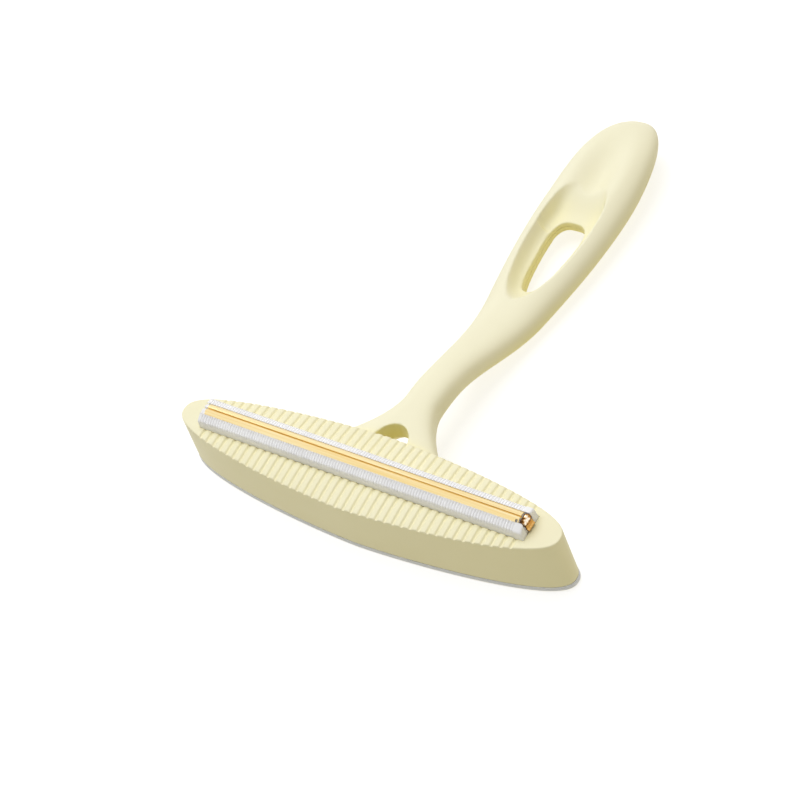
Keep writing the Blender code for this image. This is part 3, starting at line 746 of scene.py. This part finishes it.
def ribWave(x):
    # 1 in the middle of a gap, 0 on a rib's crown and on the bar's plain ends
    first, last = insertLeft + comb["plainLeft"], insertRight - comb["capLength"]
    if not first < x < last:
        return 0.0
    ease = min(x - first, last - x, comb["ribPitch"] / 2) / (comb["ribPitch"] / 2)
    wave = 0.5 + 0.5 * cos(2 * pi * (x - first) / comb["ribPitch"])
    return wave ** comb["ribPower"] * ease


def smoothStep(value, low, high):
    share = ramp(value, low, high)
    return share * share * (3 - 2 * share)


def capBody(side):
    # the smooth block that ends a comb: full depth, well rounded, with a slanted end face
    top = combTop(side)
    outer, inner, foot = insert["width"] / 2, comb["inner"], comb["foot"]
    proud, r, edge = comb["capProud"], comb["capRound"], comb["capEdge"]
    section = [(inner, z) for z in (foot, foot / 2, *comb["capLevels"])]
    section += [(y + max(normal[0], 0.0) * proud, z + normal[1] * proud) for y, z, normal, depth in top]
    wallY, wallZ = top[-1][0] + proud, top[-1][1]
    for share in evenly(0, 1.0, 4)[1:]:
        section.append((wallY + (outer + proud - wallY) * share, wallZ + (foot - wallZ) * share))
    middle = (inner + outer + proud) / 2
    halfWide = (outer + proud - inner) / 2
    tall = comb["innerHeight"] + proud - foot

    # places along x, and how far the section is drawn in at each
    capStart, plain = insertRight - comb["capLength"], comb["capLength"] - r - edge
    places = [(capStart, 0.25 * r), (capStart + edge / 4, 0.1 * r), (capStart + edge, 0.0)]
    places += [(capStart + edge + plain * i / 5, 0.0) for i in range(1, 6)]
    for turn in evenly(0, quarter, comb["capSteps"])[1:]:
        places.append((insertRight - r + r * sin(turn), r * (1 - cos(turn)) * comb["capTuck"]))
    slantStart, (atFoot, atTop) = insertRight - comb["capSlantReach"] * r, comb["capNarrow"]
    loops = []
    for x, tuck in places:
        loop = []
        for y, z in section:
            up = (z - foot) / tall
            flatY = middle + (y - middle) * (1 - tuck / halfWide * (atFoot + atTop * up))
            flatZ = foot + (z - foot) * (1 - tuck / tall)
            lean = comb["capSlant"] * up * smoothStep(x, slantStart, insertRight)
            loop.append(Vector((x - lean, side * flatY, flatZ)))
        loops.append(loop)
    return loftLoops(loops)


def makeComb(name, side):
    points = combProfile(side)
    profile = [(y, z) for y, z, normal, depth in points]
    step = comb["ribPitch"] / comb["columnsPerRib"]
    firstRib = insertLeft + comb["plainLeft"]
    barEnd = insertRight - comb["capLength"] + comb["capOverlap"]
    count = int((barEnd - firstRib) / step)
    r = comb["endRound"]
    xs = [insertLeft + r * (1 - cos(turn)) for turn in evenly(0, quarter, comb["endSteps"])]
    xs += [firstRib + step * i for i in range(count + 1)] + [barEnd]

    def shift(i, x):
        # moves a point in along its normal, by the ribs and by the rounding of the bar's left end
        normal, depth = points[i][2], points[i][3]
        if normal is None:
            return 0.0, 0.0
        move = -comb["ribDepth"] * ribWave(x) * depth - edgeDrop(x - insertLeft, r)
        if normal[1] == 0.0 and normal[0] < 0:
            move *= comb["lipShare"]
        return normal[0] * move, normal[1] * move

    verts, faces = sweep(profile, xs, side, shift)
    capVerts, capFaces = capBody(side)
    faces += [tuple(len(verts) + i for i in face) for face in capFaces]
    mesh = newMesh(name, verts + capVerts, faces)
    replaced = [name.replace("Comb", "_comb")]
    return dressPiece(name, mesh, replaced, combWhite, comb["sharpAngle"])


def makeCarrier():
    # the body under blades and combs, open at its right end for the clip
    gap, margin = insert["combGap"], insert["cutMargin"]
    half = insert["width"] / 2 - comb["skirt"] - gap
    bottom = -insert["seatDepth"] + insert["seatGap"]
    step = insert["ledge"] - insert["seatGap"]
    under = blade["thickness"] + layerGap
    slot = slotHalf + blade["lip"] + insert["lipGap"]
    crown = insert["crown"]
    right = [
        (half, bottom),
        (combWall(insert["ledge"]) - comb["skirt"] - gap, step),
        (bladeOuter[0], step),
        (bladeOuter[0], bladeOuter[1] - under),
        (crease[0], crease[1] - under),
        (slot, crown - under - insert["landGap"]),
        (slot, crown - insert["slotDepth"]),
    ]
    profile = right + [(-y, z) for y, z in reversed(right)]
    barEnd = insertRight - 0.5 * comb["capLength"]
    verts, faces = sweep(profile, [insertLeft + insert["endTuck"], barEnd], 1)

    # the bay in which the clip's bead lies, and the tongue under it
    floor = clipPlace[1] - clip["beadRadius"] - layerGap
    bayLow = (bladeRight + layerGap, -half - mm, floor)
    bay = boxMesh(bayLow, (insertRight + mm, half + mm, 2 * crown))
    mesh = cutMesh(rawMesh("insertCarrier", verts, faces), bay)
    tongueHalf = comb["inner"] - gap
    tongueEnd = clipPlace[0] + clip["beadRadius"] - clip["sheet"] - insert["tongueGap"]
    tongueLow = (barEnd - mm, -tongueHalf, bottom + margin)
    tongue = boxMesh(tongueLow, (tongueEnd, tongueHalf, floor - margin))
    mesh = cutMesh(cutMesh(mesh, tongue, "UNION"), holeCutter())
    sharpAngle = insert["sharpAngle"]
    return dressPiece("insertCarrier", mesh, ["insert_carrier"], combWhite, sharpAngle)


clip = {
    "beadRadius": 1.05 * mm,
    "sheet": 0.4 * mm,
    "width": 3.1 * mm,
    "edge": 0.16 * mm,
    "rollStart": -25.0,  # degrees round the bead
    "rollEnd": 270.0,
    "rollSteps": 40,
    "foot": 0.8 * mm,
    "curl": 0.7 * mm,
    "curlOut": 0.02 * mm,
    "curlSteps": 6,
    "paintedReflectionsTo": 0.8,  # the bead's painted reflections end this far under its middle, in radii
    "sharpAngle": 45,
}
clipPlace = (bladeRight + clip["beadRadius"] + 2 * layerGap, insert["crown"] - clip["beadRadius"])


def makeClip():
    # a rolled bead across the insert's end, whose sheet turns down and curls out at its foot
    cx, cz = clipPlace
    r, sheet, foot, curl = clip["beadRadius"], clip["sheet"], clip["foot"], clip["curl"]
    start, turns = clip["rollStart"], clip["curlSteps"]
    outline = []
    for degrees in evenly(start, clip["rollEnd"], clip["rollSteps"]):
        angle = radians(degrees)
        outline.append((cx + r * cos(angle), cz + r * sin(angle)))

    # down the flange's inner side, round the curl, and back up its outer side
    outerX = cx + r * cos(radians(start))
    innerX = outerX - sheet
    outline += [(innerX, cz - r * 0.9), (innerX, foot + curl)]
    for angle in evenly(0, quarter, turns)[1:]:
        outline.append((innerX + curl * (1 - cos(angle)), foot + curl * (1 - sin(angle))))
    tipX = outerX + sheet * 1.2
    outline += [(tipX, foot), (tipX, foot + sheet * 0.8)]
    small = curl - sheet
    for i in range(turns - 1):
        angle = quarter * (1 - i / (turns - 1))
        x = outerX + small * (1 - cos(angle)) + clip["curlOut"]
        outline.append((x, foot + sheet + small * (1 - sin(angle))))

    # the outline at each place across the clip, drawn in a little at both ends
    half, edge = clip["width"] / 2, clip["edge"]
    left = [(-half, edge), (-half + edge * 0.3, edge * 0.3), (-half + edge, 0.0)]
    middle = Vector((cx, cz))
    loops = []
    for y, tuck in left + [(-y, tuck) for y, tuck in reversed(left)]:
        loop = []
        for x, z in outline:
            away = Vector((x, z)) - middle
            share = 1.0 - tuck / max(away.length, r)
            flat = middle + away * share if away.length < r * 1.02 else Vector((x, z))
            loop.append(Vector((flat.x, y, flat.y)))
        loops.append(loop)
    mesh = newMesh("endClip", *loftLoops(loops))
    piece = dressPiece("endClip", mesh, ["end_clip"], brassClip, clip["sharpAngle"])
    mesh.materials.append(beadWithPaintedReflections)
    toTool = toolSpace.inverted()       # the bead gets the second material with its painted reflections, the flange the first
    for face in mesh.polygons:
        face.material_index = int((toTool @ face.center).z > cz - clip["paintedReflectionsTo"] * r)
    return piece


frontBlade = makeBlade("frontBlade", -1)
rearBlade = makeBlade("rearBlade", 1)
frontComb = makeComb("frontComb", -1)
rearComb = makeComb("rearComb", 1)
insertCarrier = makeCarrier()
endClip = makeClip()
print("insert made:", len(frontComb.data.vertices), "points in a comb")


# handle

handle = {
    "end": 158.8 * mm,
    "forkWidth": 32 * mm,
    "forkBlendEnd": 30 * mm,
    "forkDrop": 7.8 * mm,
    "neckAt": 41 * mm,
    "neckWidth": 11.4 * mm,
    "neckThickness": 9.6 * mm,
    "dropStart": 31 * mm,
    "dropEnd": 78 * mm,
    "gripAt": 120 * mm,
    "gripWidth": 27.4 * mm,
    "gripThickness": 14 * mm,
    "gripDrop": 19.1 * mm,
    "swellPower": 0.87,  # how the neck grows into the grip
    "forkPower": 1.7,
    "sectionPower": 3.2,  # how square the section is at the head, and how much less at the neck
    "sectionEasing": 0.75,
    "tipPower": 2.5,
    "palmRise": 1.2 * mm,
    "palmReach": 0.6,  # the rise is complete at this share of the grip
    "tipDroop": 2 * mm,
    "tipDroopLength": 12.8 * mm,
    "partingDrop": 1.2 * mm,
    "partingGap": 0.02 * mm,
    "wallGap": 0.05 * mm,
    "stations": 330,
    "tipStations": 46,
    "tipOpen": 0.35,  # the last ring stays this share of a step short of the tip
    "across": 96,
    "voxel": 0.34 * mm,
    "smoothing": 6,
    "sharpAngle": 48,
}
dish = {
    "widestAt": 108 * mm,
    "halfWidth": 9.3 * mm,
    "frontLength": 31 * mm,
    "rearLength": 19 * mm,
    "frontPower": 1.9,  # a pointed oval in front, a squarer one behind
    "rearPower": 3.0,
    "floorDrop": 18.6 * mm,
    "climbAt": 113.5 * mm,
    "climb": 4 * mm,
    "hollowAt": 128 * mm,
    "hollowHalfLength": 24 * mm,
    "hollowHalfWidth": 9.6 * mm,
    "hollowDepth": 3.7 * mm,
    "wallPower": 4.0,
    "shoulderPower": 1.5,
    "underShare": 0.78,
    "web": 3.7 * mm,
}
window = {
    "front": 84.3 * mm,
    "rear": 113.8 * mm,
    "halfWidth": 4.9 * mm,
    "flare": 1.6 * mm,
    "power": 3,  # above 2, its ends are squarer than an ellipse
    "steps": 60,
    "seam": 0.14 * mm,  # hairline where the two halves meet inside the window
    "seamDepth": 0.25 * mm,
    "seamBehind": 10 * mm,  # the seam's height is taken this far behind the window's front
}
arch = {
    "at": 11.8 * mm,
    "length": 7.3 * mm,
    "halfWidth": 5.6 * mm,
    "wallTall": 6.1 * mm,  # under this the opening flares out to the handle's underside
    "flare": 7 * mm,
    "flareDrop": 9 * mm,
    "sideFlare": 0.5,  # share of the flare to each side
    "steps": 40,
}
wellBelow, wellAbove = -2.5 * head["depth"], head["depth"]  # the cutters reach past the handle


def swell(share, power=1.0):
    return sin(quarter * share ** power) ** 2


def tipShare(y):
    return sqrt(max(1.0 - ramp(y, handle["gripAt"], handle["end"]) ** handle["tipPower"], 0.0))


def grownAt(y, neck, grip):
    # a measure of the handle between its value at the neck and at the grip
    share = swell(ramp(y, handle["neckAt"], handle["gripAt"]), handle["swellPower"])
    return neck + (grip - neck) * share


def halfWidthAt(y):
    neck = handle["neckWidth"]
    spread = 1.0 - ramp(y, head["faceWidth"] / 2, handle["forkBlendEnd"])
    fork = (handle["forkWidth"] - neck) * spread ** handle["forkPower"]
    return (grownAt(y, neck, handle["gripWidth"]) + fork) / 2 * tipShare(y)


def halfThicknessAt(y):
    return grownAt(y, handle["neckThickness"], handle["gripThickness"]) / 2 * tipShare(y)


def centreAt(y):
    fork, grip, end = handle["forkDrop"], handle["gripDrop"], handle["end"]
    drop = fork + (grip - fork) * swell(ramp(y, handle["dropStart"], handle["dropEnd"]))
    palmEnd = handle["gripAt"] + handle["palmReach"] * (end - handle["gripAt"])
    rise = handle["palmRise"] * swell(ramp(y, handle["gripAt"], palmEnd))
    droop = handle["tipDroop"] * ramp(y, end - handle["tipDroopLength"], end) ** 2
    return rise - drop - droop


def dishDepthShare(x, y, widthShare):
    # 1 in the middle of the dish, 0 on its rim and outside
    if y < dish["widestAt"]:
        along, power = (dish["widestAt"] - y) / dish["frontLength"], dish["frontPower"]
    else:
        along, power = (y - dish["widestAt"]) / dish["rearLength"], dish["rearPower"]
    reach = along ** power + abs(x / (dish["halfWidth"] * widthShare)) ** power
    return max(1.0 - reach ** dish["wallPower"], 0.0)


def dishFloor(y):
    # level around the window, then climbing behind it to run out into the palm hollow
    climb = swell(ramp(y, dish["climbAt"], dish["widestAt"] + dish["rearLength"]))
    return dish["climb"] * climb - dish["floorDrop"]


def skinHeight(x, y, side):
    # height of the handle's top (side 1) or underside (side -1) at a point in plan
    half = halfWidthAt(y)
    share = min(abs(x) / half, 1.0) if half > 0 else 1.0
    easing = handle["sectionEasing"] * ramp(y, head["faceWidth"] / 2, handle["neckAt"])
    power = handle["sectionPower"] - easing
    height = centreAt(y) + side * halfThicknessAt(y) * (1.0 - share ** power) ** (1 / power)
    if side > 0:
        along = (y - dish["hollowAt"]) / dish["hollowHalfLength"]
        reach = hypot(along, x / dish["hollowHalfWidth"])
        height -= dish["hollowDepth"] * cos(quarter * min(reach, 1.0)) ** 2
        sunk = dishDepthShare(x, y, 1.0) ** dish["shoulderPower"]
        return height - max(height - dishFloor(y), 0.0) * sunk
    floor = -dish["floorDrop"] - dish["web"]
    return height + max(floor - height, 0.0) * dishDepthShare(x, y, dish["underShare"])


def handleMesh():
    start = head["faceWidth"] / 2 - 1.5 * head["wall"]
    bodyEnd = handle["end"] - handle["tipDroopLength"]
    ys = evenly(start, bodyEnd, handle["stations"])
    tipSteps = handle["tipStations"]
    tipSpan = tipSteps + handle["tipOpen"]
    for i in range(1, tipSteps + 1):
        ys.append(bodyEnd + (handle["end"] - bodyEnd) * sin(quarter * i / tipSpan))
    loops = []
    for y in ys:
        half = halfWidthAt(y)
        xs = [half * cos(turn) for turn in evenly(0, pi, handle["across"])]
        loop = [Vector((x, y, skinHeight(x, y, 1))) for x in xs]
        loop += [Vector((x, y, skinHeight(x, y, -1))) for x in reversed(xs[1:-1])]
        loops.append(loop)
    return rawMesh("handleBody", *loftLoops(loops))


def windowOutline(grow=0.0):
    middle = (window["front"] + window["rear"]) / 2
    halfLength = (window["rear"] - window["front"]) / 2 + grow
    power, side = window["power"], []
    for turn in evenly(0, pi, window["steps"]):
        share = -cos(turn)
        half = window["halfWidth"] + grow + window["flare"] * share
        side.append((half * (1.0 - abs(share) ** power) ** (1 / power), middle + halfLength * share))
    return side + [(-x, y) for x, y in side[-2:0:-1]]


def archOutline(grow=0.0):
    half, long = arch["halfWidth"] + arch["sideFlare"] * grow, arch["length"] + grow
    turns = evenly(0, pi, arch["steps"])
    outline = [(half * cos(turn), arch["at"] + long * sin(turn)) for turn in turns]
    return outline + [(-half, 0.0), (half, 0.0)]


def archFlare():
    # the lower part of the arch's opening, wider towards the underside
    rear = arch["at"] + arch["length"]
    top = skinHeight(0.0, rear, 1) - arch["wallTall"]
    loops = []
    for z, grow in ((top - arch["flareDrop"], arch["flare"]), (top, 0.0)):
        loops.append([Vector((x, y, z)) for x, y in archOutline(grow)])
    return rawMesh("archFlare", *loftLoops(loops))


def headBlock():
    # the head's outline as a block, a hair larger, so that the handle ends at its wall
    turns = evenly(0, 2 * pi, 240)[:-1]
    levels = (-1.5 * head["depth"], head["depth"] / 2)
    loops = [[rimPoint(turn, z, -handle["wallGap"]) for turn in turns] for z in levels]
    return rawMesh("headBlock", *loftLoops(loops))


def partingBlock(gap):
    # everything below the parting line, which keeps a set distance under the handle's centre
    reach, deep = handle["forkWidth"], wellBelow
    loops = []
    for y in evenly(0, handle["end"] + head["faceWidth"], 260):
        z = centreAt(min(y, handle["end"])) - handle["partingDrop"] + gap / 2
        corners = ((-reach, z), (reach, z), (reach, deep), (-reach, deep))
        loops.append([Vector((x, y, height)) for x, height in corners])
    return rawMesh("partingBlock", *loftLoops(loops))


def softened(mesh):
    # an even skin over the cut body, then relaxed so that every cut edge is rounded
    body = linked("softBody", mesh)
    remesh = body.modifiers.new("skin", "REMESH")
    remesh.mode = "VOXEL"
    remesh.voxel_size = handle["voxel"]
    smooth = body.modifiers.new("relax", "SMOOTH")
    smooth.factor = 0.5
    smooth.iterations = handle["smoothing"]
    result = modifiedMesh(body)
    bpy.data.objects.remove(body)
    return result


def makeHandle():
    body = cutMesh(handleMesh(), prismMesh(windowOutline(), wellBelow, wellAbove))
    body = cutMesh(body, prismMesh(archOutline(), wellBelow, wellAbove))
    body = cutMesh(body, archFlare())
    body = cutMesh(softened(body), headBlock())
    seamZ = centreAt(window["front"] + window["seamBehind"]) - handle["partingDrop"]
    seamHalf, seamOutline = window["seam"] / 2, windowOutline(window["seamDepth"])
    body = cutMesh(body, prismMesh(seamOutline, seamZ - seamHalf, seamZ + seamHalf))
    upper = cutMesh(body.copy(), partingBlock(handle["partingGap"]))
    lower = cutMesh(body, partingBlock(-handle["partingGap"]), "INTERSECT")
    halves = (("handleUpper", upper, "handle_upper"), ("handleLower", lower, "handle_lower"))
    return [dressPiece(name, mesh, [node], creamHandle, handle["sharpAngle"])
            for name, mesh, node in halves]


handleUpper, handleLower = makeHandle()
print("handle made:", len(handleUpper.data.vertices), "+", len(handleLower.data.vertices), "points")


# lint pad

pad = {
    "thickness": 0.85 * mm,
    "proud": 0.15 * mm,
    "edgeRound": 0.18 * mm,
    "roundSteps": 6,
    "topRound": 0.12 * mm,
    "topInset": 3 * mm,
    "lowInsets": (1 * mm, 2 * mm, 4 * mm, 7 * mm),
    "points": 360,
}


def makePad():
    # rings from the top's middle out over the rim, round the lower edge and in under the pad
    low = -head["depth"]
    top = low + pad["thickness"]
    r, proud = pad["edgeRound"], pad["proud"]
    rings = [(pad["topInset"], top), (0.0, top), (-proud, top - pad["topRound"])]
    for turn in evenly(0, quarter, pad["roundSteps"]):
        rings.append((r * (1 - cos(turn)) - proud, low + r * (1 - sin(turn))))
    rings += [(inset, low) for inset in pad["lowInsets"]]
    turns = evenly(0, 2 * pi, pad["points"])[:-1]
    loops = [[rimPoint(turn, z, inset) for turn in turns] for inset, z in rings]
    mesh = newMesh("lintPad", *loftLoops(loops))
    piece = dressPiece("lintPad", mesh, ["lint_pad"], padPile)
    return piece


lintPad = makePad()
print("pad made")


# finishes of the parts that keep their CAD solids

screws = ["back_plate_screw_" + number for number in "1234"] + ["leg_screw_left", "leg_screw_right"]
plainParts = {"back_plate": creamPlate, "pad_backing": backingFoam, **dict.fromkeys(screws, screwZinc)}
for node, material in plainParts.items():
    for slot in bpy.data.objects[node].material_slots:
        slot.material = material
print("plain parts finished:", len(plainParts))


# floor, light and camera

studio = {
    "floorSize": 6.0,
    "floorDrop": 0.2 * mm,  # keeps the floor clear of the pad's lowest edge
    "floorTone": (0.42, 0.42, 0.42),  # what the camera sees
    "floorGlow": (0.72, 0.72, 0.72),
    "tableTone": (0.12, 0.11, 0.06),  # what lights the tool from below
    "tableGlow": (0.55, 0.50, 0.315),
    "skyStrength": 0.40,
}
# square lamps aimed at the tool; the glint lights only the gloss, the others all but the gloss
lamps = {
    "keyLamp": {"place": (-0.31, 0.03, 1.19), "size": 1.1, "power": 11.6, "tone": (1, 1, 1)},
    "sideLamp": {"place": (0.95, 0.60, 0.62), "size": 0.9, "power": 1.1, "tone": (1.0, 0.74, 0.15)},
    "glintLamp": {"place": (-0.90, 0.53, 0.59), "size": 0.3, "power": 0.8, "tone": (1, 1, 1)},
}


def directlySeen(nodes, links):
    # 1 for camera, glossy and transmission rays, 0 for the rays that light the tool
    path = nodes.new("ShaderNodeLightPath")
    seen = path.outputs["Is Camera Ray"]
    for ray in ("Is Glossy Ray", "Is Transmission Ray"):
        either = nodes.new("ShaderNodeMath")
        either.operation = "MAXIMUM"
        links.new(seen, either.inputs[0])
        links.new(path.outputs[ray], either.inputs[1])
        seen = either.outputs[0]
    return seen


def makeFloor():
    bpy.ops.mesh.primitive_plane_add(size=studio["floorSize"], location=(0, 0, -studio["floorDrop"]))
    floor = bpy.context.object
    floor.name = "floor"
    f = Finish("floorWhite")
    f.set({"Roughness": 0.9})
    glow = f.nodes.new("ShaderNodeEmission")
    seen = directlySeen(f.nodes, f.links)
    for kind, target in (("Tone", f.shader.inputs["Base Color"]), ("Glow", glow.inputs["Color"])):
        both = {"Color1": (*studio["table" + kind], 1.0), "Color2": (*studio["floor" + kind], 1.0)}
        f.links.new(f.add("MixRGB", "Color", both, {"Fac": seen}), target)
    total = f.nodes.new("ShaderNodeAddShader")
    f.links.new(f.shader.outputs[0], total.inputs[0])
    f.links.new(glow.outputs[0], total.inputs[1])
    f.links.new(total.outputs[0], f.nodes["Material Output"].inputs["Surface"])
    floor.data.materials.append(f.material)


def makeWorld():
    world = bpy.data.worlds.new("studio")
    bpy.context.scene.world = world
    world.use_nodes = True
    nodes, links = world.node_tree.nodes, world.node_tree.links
    sky, white = nodes["Background"], nodes.new("ShaderNodeBackground")
    for node in (sky, white):
        node.inputs["Color"].default_value = (1, 1, 1, 1)
    sky.inputs["Strength"].default_value = studio["skyStrength"]
    mix = nodes.new("ShaderNodeMixShader")
    links.new(directlySeen(nodes, links), mix.inputs[0])
    links.new(sky.outputs[0], mix.inputs[1])
    links.new(white.outputs[0], mix.inputs[2])
    links.new(mix.outputs[0], nodes["World Output"].inputs["Surface"])


def addLamp(name, lamp):
    light = bpy.data.lights.new(name, "AREA")
    light.size = lamp["size"]
    light.energy = lamp["power"]
    light.color = lamp["tone"]
    stand = linked(name, light)
    stand.location = lamp["place"]
    stand.rotation_euler = (-Vector(lamp["place"])).to_track_quat("-Z", "Y").to_euler()
    stand.visible_diffuse = name != "glintLamp"
    stand.visible_glossy = name == "glintLamp"


camera = {
    "stands": (324.15 * mm, -263.46 * mm, 478.63 * mm),  # in tool space
    "aim": (-2.64 * mm, 24.75 * mm, 0.0),
    "roll": -21.9,
    "lens": 104.67,
    "sensor": 36.0,
}


def makeCamera():
    data = bpy.data.cameras.new("photoCamera")
    data.lens = camera["lens"]
    data.sensor_width = camera["sensor"]
    view = linked("photoCamera", data)
    place, aim = Vector(camera["stands"]), Vector(camera["aim"])
    turn = (aim - place).to_track_quat("-Z", "Y").to_matrix().to_4x4()
    turn = turn @ Matrix.Rotation(radians(camera["roll"]), 4, "Z")
    view.matrix_world = toolSpace @ Matrix.Translation(place) @ turn
    bpy.context.scene.camera = view


makeFloor()
makeWorld()
for name, lamp in lamps.items():
    addLamp(name, lamp)
makeCamera()
bpy.context.scene.view_settings.view_transform = "Standard"
print("stage set")
